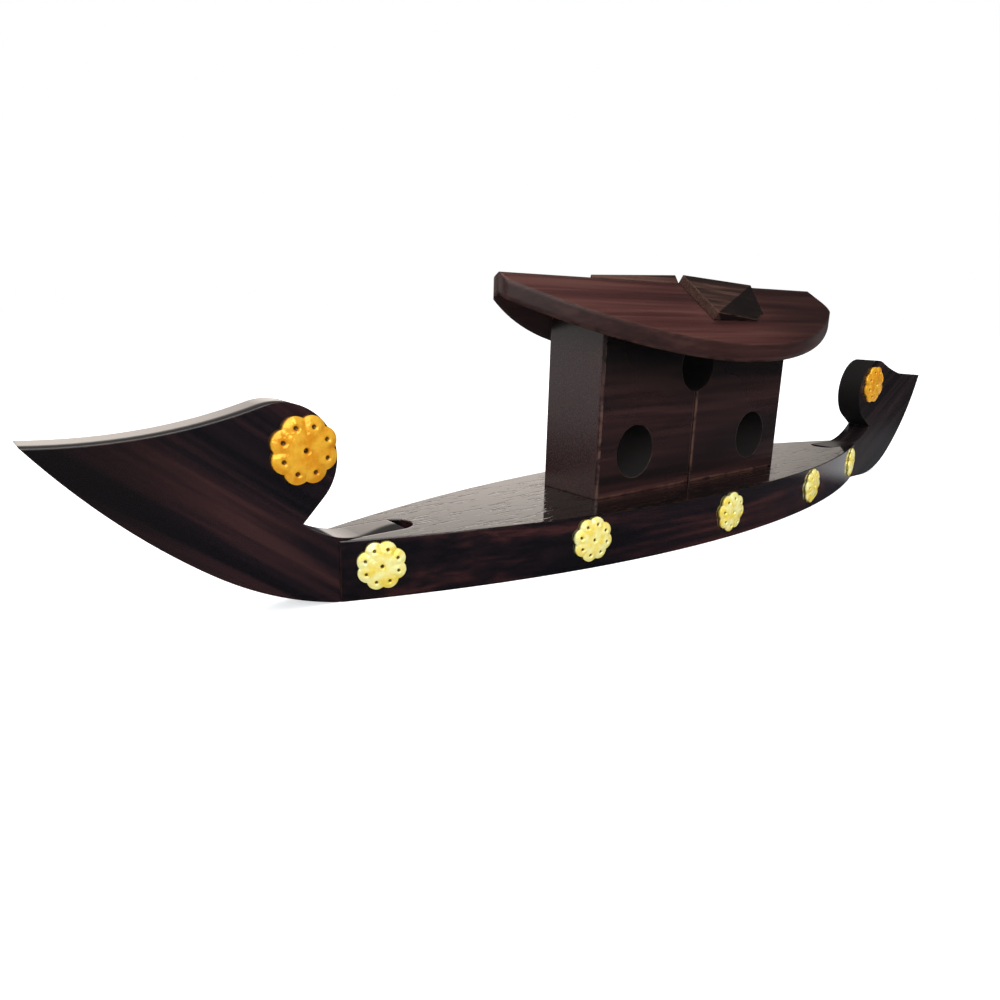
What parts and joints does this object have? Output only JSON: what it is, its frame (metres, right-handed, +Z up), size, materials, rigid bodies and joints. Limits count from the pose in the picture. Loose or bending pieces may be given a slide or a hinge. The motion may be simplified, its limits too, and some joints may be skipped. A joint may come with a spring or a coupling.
{
  "type": "incense burner",
  "caption": "Houseboat-shaped wooden incense burner: lens-shaped hull plank with upswept end boards, bored cabin blocks under a gable roof, and stamped brass flowers.",
  "frame": {"origin": "on the table, under the middle of the hull plank", "axes": "+X from bow to stern, +Y to the far side, +Z up"},
  "size_m": [0.2988, 0.0468, 0.0662],
  "materials": {
    "hull_rosewood": "gloss lacquer",
    "board_rosewood": "gloss lacquer",
    "cabin_rosewood": "satin lacquer",
    "roof_rosewood": "satin lacquer",
    "hatch_rosewood": "satin lacquer",
    "hull_flower_brass": "bright stamped",
    "head_flower_brass": "bright stamped",
    "pin_brass": "tarnished"
  },
  "bodies": {
    "root": {"hull_plank": "hull_rosewood", "bow_board": "board_rosewood", "stern_board": "board_rosewood", "fore_cabin_block": "cabin_rosewood", "aft_cabin_block": "cabin_rosewood", "near_roof_plank": "roof_rosewood", "far_roof_plank": "roof_rosewood", "near_roof_hatch": "hatch_rosewood", "far_roof_hatch": "hatch_rosewood", "near_hull_rosette_1": "hull_flower_brass", "near_hull_rosette_2": "hull_flower_brass", "near_hull_rosette_3": "hull_flower_brass", "near_hull_rosette_4": "hull_flower_brass", "near_hull_rosette_5": "hull_flower_brass", "far_hull_rosette_1": "hull_flower_brass", "far_hull_rosette_2": "hull_flower_brass", "far_hull_rosette_3": "hull_flower_brass", "far_hull_rosette_4": "hull_flower_brass", "far_hull_rosette_5": "hull_flower_brass", "near_bow_rosette": "head_flower_brass", "far_bow_rosette": "head_flower_brass", "near_stern_rosette": "head_flower_brass", "far_stern_rosette": "head_flower_brass", "rosette_pins": "pin_brass"}
  },
  "joints": []
}
